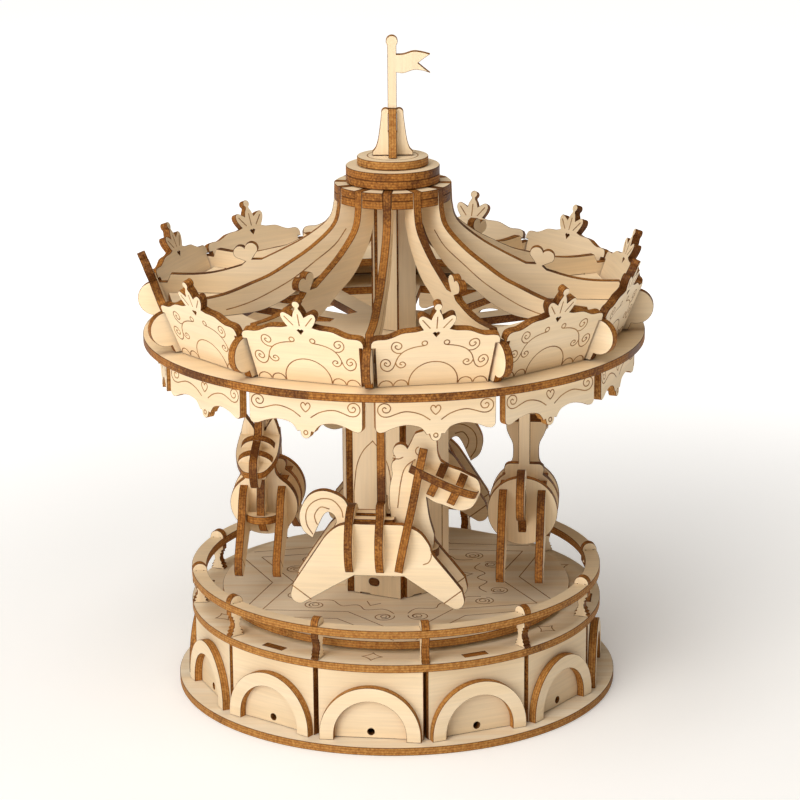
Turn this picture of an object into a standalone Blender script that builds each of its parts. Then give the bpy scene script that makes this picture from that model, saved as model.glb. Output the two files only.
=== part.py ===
"""Laser-cut plywood carousel kit: a fixed drum base and a turntable that carries the
hexagonal column, four leaping horses and a ribbed canopy round the vertical axis.

Lengths below are millimetres; meshes are built in metres. +Z is up, the front is -Y, and an
azimuth is counted in degrees from the front towards +X."""

import math

import bmesh
import bpy
from mathutils import Matrix, Vector

MM = 0.001
PLY = 2.4
GAP = 0.3
SIDES = 12
STEP = 360 / SIDES

# Base
PLATE_R = 66.2
WALL_APOTHEM = 59.2
WALL_H = 21.0
WALL_MID_AZ = -7.4
ARCH_HALF_W = 14.7
ARCH_H = 16.2
ARCH_BAND = 4.2
TOP_PLATE_R = 61.8
RAIL_R = 61.7
RAIL_W = 4.4
RAIL_Z = 33.6
KNOB_R = 2.4
POST_AZ = 7.6
PIN_R = 3.0

# Turntable
DECK_R = 52.5
DECK_Z = 27.0
DECK_CLEARANCE = 0.5
COLUMN_APOTHEM = 15.3
COLUMN_FACE_AZ = -25.5
CORE_APOTHEM = 5.9

# Canopy
WHEEL_R = 74.0
WHEEL_Z = 106.7
OPENING_R = (20.5, 51.0)
SPOKE_W = 7.0
RIB_AZ = -5.9
PANEL_AZ = 9.1
PANEL_R = 65.6
PANEL_LEAN = 21.0
VALANCE_R = 67.8
SHELF_Z = 115.9
SHELF_INNER_R = 48.2
SHELF_CORNER_R = 67.0
SHELF_SLOT_R = 62.7
RIB_TOP = 124.0
HUB_Z = 147.7
HUB_R = 17.1
HUB_SLOT_R = 10.4
CAP_R = 13.7
TOP_CAP_R = 10.4
FINIAL_H = 13.7
FLAG_TOP = 195.4

# Horses
HORSE_AZ = RIB_AZ
HORSES = 4
HORSE_R = 38.8
SIDE_PLATE_OFFSET = 5.7
RIB_DISC_R = 10.4
RIB_DISC_Z = 55.5
POLE_W = 3.4
POLE_S = 0.0
BAR_TOP = 67.6

BASSWOOD = (0.87, 0.73, 0.53)
BROWN_WOOD = (0.52, 0.32, 0.14)

DECK_TOP = DECK_Z + PLY
TOP_PLATE_Z = PLY + WALL_H
TOP_PLATE_TOP = TOP_PLATE_Z + PLY
WHEEL_TOP = WHEEL_Z + PLY
SLOT_W = PLY + 2 * GAP


# ---------------------------------------------------------------- outlines

def arc(centre, radius, start, end, steps):
    """Points on a circle from angle start to angle end, in degrees, both ends included."""
    points = []
    for i in range(steps + 1):
        angle = math.radians(start + (end - start) * i / steps)
        points.append((centre[0] + radius * math.cos(angle), centre[1] + radius * math.sin(angle)))
    return points


def circle(radius, steps=48):
    return arc((0, 0), radius, 0, 360 * (steps - 1) / steps, steps - 1)


def polygon(apothem, sides, mid_azimuth):
    """A regular polygon seen from above, one side facing the given azimuth."""
    corner_r = apothem / math.cos(math.pi / sides)
    return [azimuth_point(mid_azimuth + 360 * (i + 0.5) / sides, corner_r) for i in range(sides)]


def rectangle(x0, y0, x1, y1):
    return [(x0, y0), (x1, y0), (x1, y1), (x0, y1)]


def mirrored(half):
    """A closed outline from its right half, listed bottom to top."""
    return half + [(-x, y) for x, y in reversed(half) if abs(x) > 1e-6]


# ---------------------------------------------------------------- placing

def azimuth_point(azimuth, radius):
    angle = math.radians(azimuth)
    return (radius * math.sin(angle), -radius * math.cos(angle))


def directions(azimuth):
    """Outward and tangent (anticlockwise seen from above) unit vectors."""
    outward = Vector((*azimuth_point(azimuth, 1), 0))
    return outward, Vector((-outward.y, outward.x, 0))


def placed(u, v, w, origin):
    columns = Matrix((u, v, w)).transposed().to_4x4()
    return Matrix.Translation(Vector(origin) * MM) @ columns


def lying(z):
    """Outline seen from above; the sheet's underside is at height z."""
    return Matrix.Translation((0, 0, (z + PLY / 2) * MM))


def radial(azimuth, along=0.0):
    """Outline in (radius, height); the sheet stands in a plane through the axis, moved along the tangent."""
    outward, tangent = directions(azimuth)
    return placed(outward, Vector((0, 0, 1)), -tangent, tangent * along)


def facing(azimuth, radius, height=0.0, lean=0.0):
    """Outline in (tangent, height); the sheet faces outwards and may lean out from its foot."""
    outward, tangent = directions(azimuth)
    tilt = math.radians(lean)
    up = Vector((0, 0, 1))
    rise = outward * math.sin(tilt) + up * math.cos(tilt)
    normal = outward * math.cos(tilt) - up * math.sin(tilt)
    return placed(tangent, rise, normal, outward * radius + up * height)


# ---------------------------------------------------------------- solids

def sheet(outlines, place, thickness=PLY):
    """A mesh of sheet wood: the first outline is the edge, the others are holes."""
    curve = bpy.data.curves.new("outline", "CURVE")
    curve.dimensions = "2D"
    curve.fill_mode = "BOTH"
    curve.extrude = thickness * MM / 2
    for outline in outlines:
        spline = curve.splines.new("POLY")
        spline.points.add(len(outline) - 1)
        for point, (x, y) in zip(spline.points, outline):
            point.co = (x * MM, y * MM, 0, 1)
        spline.use_cyclic_u = True
    holder = bpy.data.objects.new("outline", curve)
    mesh = bpy.data.meshes.new_from_object(holder)
    bpy.data.objects.remove(holder)
    bpy.data.curves.remove(curve)
    shape = bmesh.new()
    shape.from_mesh(mesh)
    bmesh.ops.remove_doubles(shape, verts=shape.verts, dist=1e-7)
    bmesh.ops.recalc_face_normals(shape, faces=shape.faces)
    shape.transform(place)
    shape.to_mesh(mesh)
    shape.free()
    return mesh


def together(meshes):
    """Separate meshes put into one, without joining their surfaces."""
    shape = bmesh.new()
    for mesh in meshes:
        shape.from_mesh(mesh)
    mesh = bpy.data.meshes.new("group")
    shape.to_mesh(mesh)
    shape.free()
    return mesh


def joined(mesh, additions):
    """One solid from a mesh and the pieces glued to it."""
    body = bpy.data.objects.new("body", mesh)
    extra = bpy.data.objects.new("extra", together(additions))
    for item in (body, extra):
        bpy.context.scene.collection.objects.link(item)
    union = body.modifiers.new("glue", "BOOLEAN")
    union.operation = "UNION"
    union.object = extra
    evaluated = body.evaluated_get(bpy.context.evaluated_depsgraph_get())
    result = bpy.data.meshes.new_from_object(evaluated)
    bpy.data.objects.remove(body)
    bpy.data.objects.remove(extra)
    return result


def wood(name, colour):
    material = bpy.data.materials.new(name + "_wood")
    material.use_nodes = True
    shader = material.node_tree.nodes["Principled BSDF"]
    shader.inputs["Base Color"].default_value = (*colour, 1)
    shader.inputs["Roughness"].default_value = 0.65
    shader.inputs["Metallic"].default_value = 0.0
    return material


def piece(name, mesh, parent, colour=BASSWOOD):
    mesh.name = name
    mesh.materials.clear()
    mesh.materials.append(wood(name, colour))
    mesh.shade_smooth()
    mesh.set_sharp_from_angle(angle=math.radians(30))
    item = bpy.data.objects.new(name, mesh)
    item.parent = parent
    bpy.context.scene.collection.objects.link(item)
    return item


# ---------------------------------------------------------------- base

def arch_outline():
    """A half-round band standing on two short legs."""
    leg = ARCH_H - ARCH_HALF_W
    inner = ARCH_HALF_W - ARCH_BAND
    return [(ARCH_HALF_W, 0)] + arc((0, leg), ARCH_HALF_W, 0, 180, 10) + [
        (-ARCH_HALF_W, 0), (-inner, 0)] + arc((0, leg), inner, 180, 0, 8) + [(inner, 0)]


def baluster_outline():
    """A fence post in (radius, height): wide foot, narrow waist, and a half-round knob over the rail."""
    centre = RAIL_R - RAIL_W / 2
    foot = TOP_PLATE_TOP + GAP
    rail_top = RAIL_Z + PLY
    half = [(2.2, foot), (2.2, foot + 1.8), (1.2, foot + 3.0), (1.2, foot + 5.2), (2.0, RAIL_Z - 0.4),
            (2.0, rail_top - 0.4)] + arc((0, rail_top - 0.1), KNOB_R, 0, 90, 3)
    return [(centre + x, y) for x, y in mirrored(half)]


def build_base(parent):
    piece("base_plate", sheet([circle(PLATE_R), circle(PIN_R + GAP, 24)], lying(0)), parent)

    wall_thickness = WALL_H - 2 * GAP
    ring = sheet([polygon(WALL_APOTHEM, SIDES, WALL_MID_AZ), polygon(WALL_APOTHEM - PLY, SIDES, WALL_MID_AZ)],
                 Matrix.Translation((0, 0, (PLY + WALL_H / 2) * MM)), wall_thickness)
    overlap = 0.4
    arch_r = WALL_APOTHEM + PLY / 2 - overlap
    arches = [sheet([arch_outline()], facing(WALL_MID_AZ + STEP * i, arch_r, PLY + GAP), PLY)
              for i in range(SIDES)]
    piece("base_wall_ring", joined(ring, arches), parent)

    top_plate = sheet([circle(TOP_PLATE_R), circle(PIN_R + GAP, 24)], lying(TOP_PLATE_Z))
    piece("base_top_plate", top_plate, parent)

    rail = sheet([circle(RAIL_R), circle(RAIL_R - RAIL_W)], lying(RAIL_Z))
    posts = [sheet([baluster_outline()], radial(POST_AZ + STEP * i)) for i in range(SIDES)]
    piece("fence", joined(rail, posts), parent)

    pin_top = DECK_TOP + 4.0
    pin = sheet([circle(PIN_R, 24)], Matrix.Translation((0, 0, pin_top / 2 * MM)), pin_top)
    piece("pivot_pin", pin, parent, BROWN_WOOD)


# ---------------------------------------------------------------- column and deck

def build_deck_and_column(parent):
    hole = circle(PIN_R + DECK_CLEARANCE, 24)
    piece("deck", sheet([circle(DECK_R), hole], lying(DECK_Z)), parent)

    height = WHEEL_Z - DECK_TOP - 2 * GAP
    middle = Matrix.Translation((0, 0, (DECK_TOP + WHEEL_Z) / 2 * MM))
    corner = COLUMN_APOTHEM * math.tan(math.radians(30))
    butt = corner - PLY * math.cos(math.radians(30)) - GAP
    board = rectangle(-butt, -COLUMN_APOTHEM, corner, PLY - COLUMN_APOTHEM)
    for i in range(6):
        turn = Matrix.Rotation(math.radians(COLUMN_FACE_AZ + 60 * i), 4, "Z")
        piece(f"column_panel_{i + 1}", sheet([board], turn @ middle, height), parent)

    core_low = WHEEL_TOP + GAP
    core_high = HUB_Z - GAP
    core = sheet([polygon(CORE_APOTHEM, 6, COLUMN_FACE_AZ)],
                 Matrix.Translation((0, 0, (core_low + core_high) / 2 * MM)), core_high - core_low)
    piece("column_core", core, parent, BROWN_WOOD)


# ---------------------------------------------------------------- canopy

def opening_outline(azimuth):
    """A hole between two spokes, with sides parallel to the spokes."""
    half_angle = math.radians(STEP / 2)
    outward, tangent = directions(azimuth)
    points = []
    for radius, side in zip(OPENING_R + OPENING_R[::-1], (-1, -1, 1, 1)):
        half = radius * math.sin(half_angle) - SPOKE_W / 2
        spot = outward * radius * math.cos(half_angle) + tangent * side * half
        points.append((spot.x, spot.y))
    return points


def valance_outline():
    """A hanging board: flat top, two shallow arches and a round pendant, in (tangent, height)."""
    top = WHEEL_Z + 0.4
    half = [(16.8, top), (16.8, top - 8.6), (15.8, top - 9.9), (14.2, top - 9.9), (11.5, top - 8.8),
            (8.0, top - 8.2), (4.6, top - 8.9), (2.6, top - 10.9), (1.2, top - 12.9), (0, top - 13.1)]
    return mirrored(half[::-1])


def rib_outline():
    """A canopy rib in (radius, height): hub tab, concave sweep, level end and half-round lobe."""
    hub_top = HUB_Z + 2 * PLY
    level = SHELF_Z + PLY + GAP
    under = [(11.0, hub_top - 9.0), (13.5, 137.0), (17.5, 132.2), (28.5, 125.0), (35.1, 121.2), (41.0, 119.0),
             (48.4, level), (63.0, level), (63.0, WHEEL_TOP + GAP), (69.0, WHEEL_TOP + GAP)]
    lobe = arc((71.3, 116.4), 5.1, -90, 90, 6)
    over = [(55.7, 124.3), (45.0, 127.0), (32.6, 132.2), (26.6, 135.6), (20.9, 139.8), (17.4, 144.0)]
    return [(11.0, hub_top)] + under + lobe + [(66.5, RIB_TOP)] + over + [(HUB_R, hub_top)]


def crown_panel_outline():
    """A canopy board in (tangent, height): splayed sides, rising top edge and a leafed crest."""
    half = [(0, 0), (15.4, 0), (16.7, 14.4), (16.2, 15.8), (14.4, 16.1), (11.5, 16.8), (7.5, 18.0), (3.7, 18.6),
            (5.2, 21.6), (4.9, 22.9), (3.9, 23.2), (1.7, 21.9), (0.7, 24.6)] + arc((0, 25.9), 1.2, -20, 90, 3)
    return mirrored(half)


def slotted_outline(edge, slot_foot, between=()):
    """A plate with an open slot for each rib, seen from above; between lists (turn, radius) of extra points."""
    points = []
    for i in range(SIDES):
        outward, tangent = directions(RIB_AZ + STEP * i)
        for depth, side in ((edge, -1), (slot_foot, -1), (slot_foot, 1), (edge, 1)):
            spot = outward * depth + tangent * side * SLOT_W / 2
            points.append((spot.x, spot.y))
        middle = RIB_AZ + STEP * (i + 0.5)
        points += [azimuth_point(middle + turn, radius) for turn, radius in between]
    return points


def build_canopy(parent):
    openings = [opening_outline(PANEL_AZ + STEP * i) for i in range(SIDES)]
    wheel = sheet([circle(WHEEL_R)] + openings, lying(WHEEL_Z))
    glued = [sheet([valance_outline()], facing(PANEL_AZ + STEP * i, VALANCE_R)) for i in range(SIDES)]
    piece("canopy_wheel", joined(wheel, glued), parent)

    shelf = sheet([slotted_outline(SHELF_CORNER_R, SHELF_SLOT_R), circle(SHELF_INNER_R)], lying(SHELF_Z))
    piece("crown_shelf", shelf, parent)

    for i in range(SIDES):
        piece(f"canopy_rib_{i + 1:02d}", sheet([rib_outline()], radial(RIB_AZ + STEP * i)), parent)
        foot_r = PANEL_R - PLY / 2
        foot_z = WHEEL_TOP + GAP + PLY / 2 * math.sin(math.radians(PANEL_LEAN))
        place = facing(PANEL_AZ + STEP * i, foot_r, foot_z, PANEL_LEAN)
        piece(f"crown_panel_{i + 1:02d}", sheet([crown_panel_outline()], place), parent)


def build_hub_and_finial(parent):
    edge = slotted_outline(17.0, HUB_SLOT_R, ((-4, HUB_R), (4, HUB_R)))
    hub = sheet([edge], Matrix.Translation((0, 0, (HUB_Z + PLY) * MM)), 2 * PLY)
    piece("hub_rings", hub, parent, BROWN_WOOD)

    cap_low = HUB_Z + 2 * PLY + GAP
    caps = sheet([circle(CAP_R, 36)], Matrix.Translation((0, 0, (cap_low + PLY) * MM)), 2 * PLY)
    piece("cap_discs", caps, parent)
    top_low = cap_low + 2 * PLY + GAP
    piece("cap_disc_top", sheet([circle(TOP_CAP_R, 36)], lying(top_low)), parent)

    foot = top_low + PLY + GAP
    half = [(5.9, foot), (4.9, foot + 1.6), (3.9, foot + 5.0), (3.3, foot + FINIAL_H - 2.4)] + arc(
        (2.0, foot + FINIAL_H - 1.4), 1.4, 0, 90, 3)
    side = sheet([mirrored(half)], facing(0, 0))
    front = sheet([mirrored(half)], radial(0))
    piece("finial_cross", joined(side, [front]), parent)

    pole_foot = foot + FINIAL_H + GAP
    pole = 1.3
    tip = FLAG_TOP - 1.7
    flag = [(-pole, pole_foot), (pole, pole_foot), (pole, tip - 9.0), (6.2, tip - 8.2), (11.0, tip - 9.0),
            (7.4, tip - 6.3), (11.0, tip - 3.6), (6.2, tip - 2.9), (pole, tip - 3.8), (pole, tip - 1.1)
            ] + arc((0, tip), 1.7, -40, 220, 10) + [(-pole, tip - 1.1)]
    piece("flag", sheet([flag], facing(0, 0)), parent)


# ---------------------------------------------------------------- horses

def notch(depth_z):
    """The slot for the pole plate, cut down from a plate's top edge at the given height."""
    left = POLE_S - SLOT_W / 2
    right = POLE_S + SLOT_W / 2
    return [(right, depth_z), (right, RIB_DISC_Z - GAP / 2), (left, RIB_DISC_Z - GAP / 2), (left, depth_z)]


def horse_side_outline():
    """Flank and two legs, in (forward, height)."""
    fore_leg = [(6.9, 46.8), (19.0, 38.6)] + arc((21.7, 39.8), 2.6, -100, 15, 4) + [
        (23.6, 43.0), (14.9, 54.2), (14.2, 56.5), (11.9, 59.8), (9.0, 61.6), (6.2, 62.6)]
    hind_leg = [(-9.5, 62.6), (-12.4, 61.4), (-15.3, 58.9), (-25.0, 44.2)] + arc(
        (-23.2, 40.6), 2.7, 180, 285, 4) + [(-14.1, 43.0), (-7.4, 46.8)]
    return fore_leg + notch(62.6) + hind_leg


def horse_centre_outline():
    """Belly, neck, head and curled tail, in (forward, height)."""
    belly = [(-11.0, 52.0), (-8.0, 46.2), (6.0, 46.2), (12.4, 50.0), (15.4, 54.0)]
    chest_and_head = [(14.6, 59.0), (13.0, 68.8), (17.8, 66.8), (22.9, 65.2), (26.5, 66.8), (28.4, 70.6),
                      (27.2, 75.0), (19.5, 78.4), (17.1, 80.0), (16.2, 83.0), (15.8, 86.6), (12.7, 88.9),
                      (11.2, 88.5), (9.3, 87.0), (7.8, 84.0)]
    mane = arc((5.6, 82.6), 2.2, 40, 220, 4) + arc((5.2, 78.1), 2.3, 120, 220, 3)
    neck_back = [(3.1, 75.7), (2.3, 70.4), (2.6, 62.6)]
    tail = [(-9.3, 62.6), (-9.5, 65.2), (-10.8, 67.9), (-14.1, 69.9), (-17.5, 70.3), (-20.9, 68.8),
            (-23.2, 65.2), (-23.8, 61.7), (-22.7, 58.1), (-20.0, 55.9)]
    curl = [(-18.7, 58.8), (-17.0, 62.4), (-15.6, 63.8), (-13.9, 63.1), (-13.1, 61.3), (-13.7, 59.6)]
    return belly + chest_and_head + mane + neck_back + notch(62.6) + tail + curl + [(-15.5, 55.4)]


def pole_outline():
    """Transverse rib disc slotted from below for the three plates, with the pole and its cross bar."""
    top = WHEEL_Z - GAP
    half_slot = SLOT_W / 2
    disc = arc((0, RIB_DISC_Z), RIB_DISC_R, 57, -71, 11)
    low_edge = [RIB_DISC_Z - math.sqrt(RIB_DISC_R ** 2 - x ** 2)
                for x in (SIDE_PLATE_OFFSET + half_slot, SIDE_PLATE_OFFSET - half_slot, half_slot)]
    slot_top = RIB_DISC_Z + GAP / 2
    bar = [(POLE_W / 2, top), (POLE_W / 2, BAR_TOP)] + arc((4.2, BAR_TOP - 1.8), 1.8, 90, -20, 4)
    outer = [point for point in disc if point[0] > SIDE_PLATE_OFFSET + half_slot or point[1] > RIB_DISC_Z]
    right = bar + outer + [
        (SIDE_PLATE_OFFSET + half_slot, low_edge[0]), (SIDE_PLATE_OFFSET + half_slot, slot_top),
        (SIDE_PLATE_OFFSET - half_slot, slot_top), (SIDE_PLATE_OFFSET - half_slot, low_edge[1]),
        (half_slot, low_edge[2]), (half_slot, slot_top)]
    return mirrored(right[::-1])


def build_horse(number, azimuth, parent):
    name = f"horse_{number}"
    piece(f"{name}_centre_plate", sheet([horse_centre_outline()], facing(azimuth, HORSE_R)), parent)
    for side, offset in (("inner", -SIDE_PLATE_OFFSET), ("outer", SIDE_PLATE_OFFSET)):
        place = facing(azimuth, HORSE_R + offset)
        piece(f"{name}_{side}_side_plate", sheet([horse_side_outline()], place), parent)
    outward, tangent = directions(azimuth)
    place = Matrix.Translation(outward * HORSE_R * MM) @ radial(azimuth, POLE_S)
    piece(f"{name}_pole", sheet([pole_outline()], place), parent, BROWN_WOOD)


# ---------------------------------------------------------------- the whole kit

def empty(name):
    item = bpy.data.objects.new(name, None)
    bpy.context.scene.collection.objects.link(item)
    return item


def main():
    for item in list(bpy.data.objects):
        bpy.data.objects.remove(item)
    build_base(empty("base"))
    turntable = empty("turntable")
    build_deck_and_column(turntable)
    build_canopy(turntable)
    build_hub_and_finial(turntable)
    for i in range(HORSES):
        build_horse(i + 1, HORSE_AZ + 360 / HORSES * i, turntable)


main()
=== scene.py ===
"""Looks of a laser-cut plywood carousel kit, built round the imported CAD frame.

Lengths are millimetres until a mesh or a matrix is made, azimuths are degrees from the front
(-Y) towards +X, and every plate is drawn in its own plane and then put in its place."""

import math
import random

import bpy
from mathutils import Matrix, Vector, geometry


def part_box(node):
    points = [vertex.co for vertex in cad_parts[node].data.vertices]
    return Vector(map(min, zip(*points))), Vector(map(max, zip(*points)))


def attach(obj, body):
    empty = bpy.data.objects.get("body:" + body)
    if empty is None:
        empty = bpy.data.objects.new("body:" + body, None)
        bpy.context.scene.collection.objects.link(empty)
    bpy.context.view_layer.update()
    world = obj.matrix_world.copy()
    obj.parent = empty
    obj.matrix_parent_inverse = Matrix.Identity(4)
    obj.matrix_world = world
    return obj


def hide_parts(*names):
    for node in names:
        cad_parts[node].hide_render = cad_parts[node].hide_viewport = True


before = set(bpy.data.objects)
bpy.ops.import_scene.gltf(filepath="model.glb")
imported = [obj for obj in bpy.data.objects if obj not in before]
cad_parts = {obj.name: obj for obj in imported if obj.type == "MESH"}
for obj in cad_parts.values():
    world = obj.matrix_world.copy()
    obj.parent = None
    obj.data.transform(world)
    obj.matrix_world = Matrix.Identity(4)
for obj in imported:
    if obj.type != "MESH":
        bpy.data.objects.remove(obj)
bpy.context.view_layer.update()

MM = 0.001
SIDES = 12
STEP = 360 / SIDES
SEAM = 0.06
CHAMFER = 0.13
LINE_W = 0.32
FACE, EDGE, BURNT = 0, 1, 2

random_source = random.Random(11)


def low(node):
    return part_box(node)[0] / MM


def high(node):
    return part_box(node)[1] / MM


# Sizes read from the frame
PLATE_R = high("base_plate").x
PLATE_TOP = high("base_plate").z
PLY = PLATE_TOP - low("base_plate").z
TOP_PLATE_Z = low("base_top_plate").z
TOP_PLATE_TOP = high("base_top_plate").z
TOP_PLATE_R = high("base_top_plate").x
RAIL_R = high("fence").x
FENCE_TOP = high("fence").z
DECK_R = high("deck").x
DECK_Z = low("deck").z
DECK_TOP = high("deck").z
WHEEL_R = high("canopy_wheel").x
WHEEL_TOP = high("canopy_wheel").z
WHEEL_Z = WHEEL_TOP - PLY
VALANCE_FOOT = low("canopy_wheel").z
SHELF_Z = low("crown_shelf").z
HUB_Z = low("hub_rings").z
HUB_TOP = high("hub_rings").z
HUB_R = high("hub_rings").x
CAP_Z = low("cap_discs").z
CAP_R = high("cap_discs").x
TOP_CAP_Z = low("cap_disc_top").z
TOP_CAP_R = high("cap_disc_top").x
FINIAL_Z = low("finial_cross").z
FINIAL_TOP = high("finial_cross").z
FLAG_TOP = high("flag").z
RIB_FOOT = low("canopy_rib_01").z
POLE_TOP = high("horse_1_pole").z

# Angles, radii and heights shared with the design
BASE_BORE_R = 3.3
DECK_BORE_R = 3.5
WALL_APOTHEM = 59.2
WALL_MID_AZ = -7.4
WALL_HALF_W = 15.15
STAR_R = 55.2
ARCH_HALF_W = 14.7
ARCH_LEG = 1.5
ARCH_BAND = 4.2
RAIL_W = 4.4
RAIL_Z = 33.6
POST_AZ = 7.6
POST_R = RAIL_R - RAIL_W / 2
COLUMN_APOTHEM = 15.3
COLUMN_FACE_AZ = -25.5
COLUMN_SIDES = 6
CORE_APOTHEM = 5.9
RIB_AZ = -5.9
PANEL_AZ = 9.1
PANEL_R = 65.6
PANEL_LEAN = 21.0
VALANCE_R = 67.8
OPENING_INNER_R = 20.5
OPENING_OUTER_R = 51.0
SPOKE_HALF_W = 3.5
SHELF_INNER_R = 48.2
SHELF_SLOT_R = 62.8
SHELF_R = 67.1
HUB_SLOT_R = 10.5
HORSES = 4
HORSE_R = 38.8
SIDE_OFFSET = 5.7
DISC_R = 10.4
DISC_Z = 55.5
REAR_RIB_AT = -8.8
SADDLE_Z = 61.8
CHEST_AT = (11.5, 52.6)
NECK_START = (4.9, 45.9)
NECK_END = (12.6, 84.6)
FACE_START = (8.7, 78.9)
FACE_END = (27.7, 70.1)


# ---------------------------------------------------------------- outlines

def arc(x, y, radius, start, end, steps=12):
    """Points on a circle from angle start to angle end, in degrees, both ends included."""
    points = []
    for i in range(steps + 1):
        angle = math.radians(start + (end - start) * i / steps)
        points.append((x + radius * math.cos(angle), y + radius * math.sin(angle)))
    return points


def circle(radius, steps=160, x=0.0, y=0.0):
    return arc(x, y, radius, 0, 360 * (steps - 1) / steps, steps - 1)


def rectangle(x0, y0, x1, y1):
    return [(x0, y0), (x1, y0), (x1, y1), (x0, y1)]


def mirrored(half):
    """A closed outline from its right half, listed bottom to top."""
    return half + [(-x, y) for x, y in reversed(half) if abs(x) > 1e-6]


def smooth(points, steps=4):
    """A Catmull-Rom curve through open points."""
    knots = [Vector(p) for p in points]
    knots = [2 * knots[0] - knots[1]] + knots + [2 * knots[-1] - knots[-2]]
    curve = []
    for a, b, c, d in zip(knots, knots[1:], knots[2:], knots[3:]):
        for i in range(steps):
            t = i / steps
            spot = b + (c - a) * t / 2 + (2 * a - 5 * b + 4 * c - d) * t * t / 2
            spot += (3 * (b - c) + d - a) * t ** 3 / 2
            curve.append((spot.x, spot.y))
    return curve + [tuple(points[-1])]


def spiral(x, y, radius, start, turns, inner=0.3, steps=10):
    """A spiral line from its outer end inwards; negative turns run clockwise."""
    count = max(6, int(abs(turns) * steps * 2))
    points = []
    for i in range(count + 1):
        share = i / count
        angle = math.radians(start + 360 * turns * share)
        reach = radius * (1 - share) + inner * radius * share
        points.append((x + reach * math.cos(angle), y + reach * math.sin(angle)))
    return points


def azimuth_point(azimuth, radius):
    angle = math.radians(azimuth)
    return (radius * math.sin(angle), -radius * math.cos(angle))


def polar_line(points):
    """A smooth line through (azimuth, radius) points on a horizontal disc."""
    return smooth([azimuth_point(azimuth, radius) for azimuth, radius in points])


def flipped(lines):
    return [[(-x, y) for x, y in line] for line in lines]


# ---------------------------------------------------------------- placing

def directions(azimuth):
    outward = Vector((*azimuth_point(azimuth, 1), 0))
    return outward, Vector((-outward.y, outward.x, 0))


def placed(u, v, w, origin):
    columns = Matrix((u, v, w)).transposed().to_4x4()
    return Matrix.Translation(Vector(origin) * MM) @ columns


def lying(z):
    """Outline seen from above; the sheet's underside is at height z."""
    return Matrix.Translation((0, 0, (z + PLY / 2) * MM))


def radial(azimuth, along=0.0):
    """Outline in (radius, height), in a plane through the axis."""
    outward, tangent = directions(azimuth)
    return placed(outward, Vector((0, 0, 1)), -tangent, tangent * along)


def facing(azimuth, radius, height=0.0, lean=0.0):
    """Outline in (tangent, height), facing outwards, leaning out from its foot."""
    outward, tangent = directions(azimuth)
    tilt = math.radians(lean)
    up = Vector((0, 0, 1))
    rise = outward * math.sin(tilt) + up * math.cos(tilt)
    normal = outward * math.cos(tilt) - up * math.sin(tilt)
    return placed(tangent, rise, normal, outward * radius + up * height)


def nudged(place, shift=0.04, turn=0.18):
    """The small misfit of a hand-assembled piece, in its own plane."""
    dx, dy = (random_source.uniform(-shift, shift) * MM for _ in range(2))
    angle = math.radians(random_source.uniform(-turn, turn))
    return place @ Matrix.Translation((dx, dy, 0)) @ Matrix.Rotation(angle, 4, "Z")


# ---------------------------------------------------------------- sheet meshes

def cleaned(outline, clockwise):
    """The outline as vectors, without doubled points, running the asked way round."""
    points = []
    for x, y in outline:
        spot = Vector((x, y))
        if not points or (spot - points[-1]).length > 0.01:
            points.append(spot)
    if (points[0] - points[-1]).length <= 0.01:
        points.pop()
    area = sum(a.cross(b) for a, b in zip(points, points[1:] + points[:1]))
    return points[::-1] if (area < 0) != clockwise else points


def mitre(before, after):
    """The offset to the left of a corner that keeps both sides at unit distance."""
    normal = Vector((-before.y - after.y, before.x + after.x))
    length = max(normal.length, 0.8)
    return normal * 2 / length ** 2


def inset(points, distance):
    moved = []
    for i, spot in enumerate(points):
        before = (spot - points[i - 1]).normalized()
        after = (points[(i + 1) % len(points)] - spot).normalized()
        moved.append(spot + mitre(before, after) * distance)
    return moved


class Body:
    """Vertices, faces and their material numbers, gathered before one mesh is made."""

    def __init__(self):
        self.vertices = []
        self.faces = []
        self.finishes = []

    def ring(self, points, z):
        start = len(self.vertices)
        self.vertices += [(p.x * MM, p.y * MM, z * MM) for p in points]
        return list(range(start, start + len(points)))

    def face(self, corners, finish):
        self.faces.append(corners)
        self.finishes.append(finish)

    def bridge(self, upper, lower, finish, closed=True):
        count = len(upper)
        for i in range(count if closed else count - 1):
            j = (i + 1) % count
            self.face((upper[i], lower[i], lower[j], upper[j]), finish)

    def mesh(self, name):
        mesh = bpy.data.meshes.new(name)
        mesh.from_pydata(self.vertices, [], self.faces)
        mesh.polygons.foreach_set("material_index", self.finishes)
        mesh.shade_smooth()
        mesh.set_sharp_from_angle(angle=math.radians(28))
        return mesh


def add_plate(body, outlines, thickness):
    """A plate with small worn chamfers: the first outline is its edge, the others are holes."""
    half = thickness / 2
    rims = [cleaned(outline, i > 0) for i, outline in enumerate(outlines)]
    insets = [inset(rim, CHAMFER) for rim in rims]
    tops = []
    bottoms = []
    for rim, inner in zip(rims, insets):
        top = body.ring(inner, half)
        upper = body.ring(rim, half - CHAMFER)
        lower = body.ring(rim, CHAMFER - half)
        bottom = body.ring(inner, -half)
        body.bridge(top, upper, EDGE)
        body.bridge(upper, lower, EDGE)
        body.bridge(lower, bottom, EDGE)
        tops += top
        bottoms += bottom
    flat = [[Vector((p.x, p.y, 0)) for p in inner] for inner in insets]
    spots = [p for inner in flat for p in inner]
    for corners in geometry.tessellate_polygon(flat):
        a, b, c = corners
        if (spots[b] - spots[a]).cross(spots[c] - spots[a]).z < 0:
            b, c = c, b
        body.face((tops[a], tops[b], tops[c]), FACE)
        body.face((bottoms[a], bottoms[c], bottoms[b]), FACE)


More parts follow.
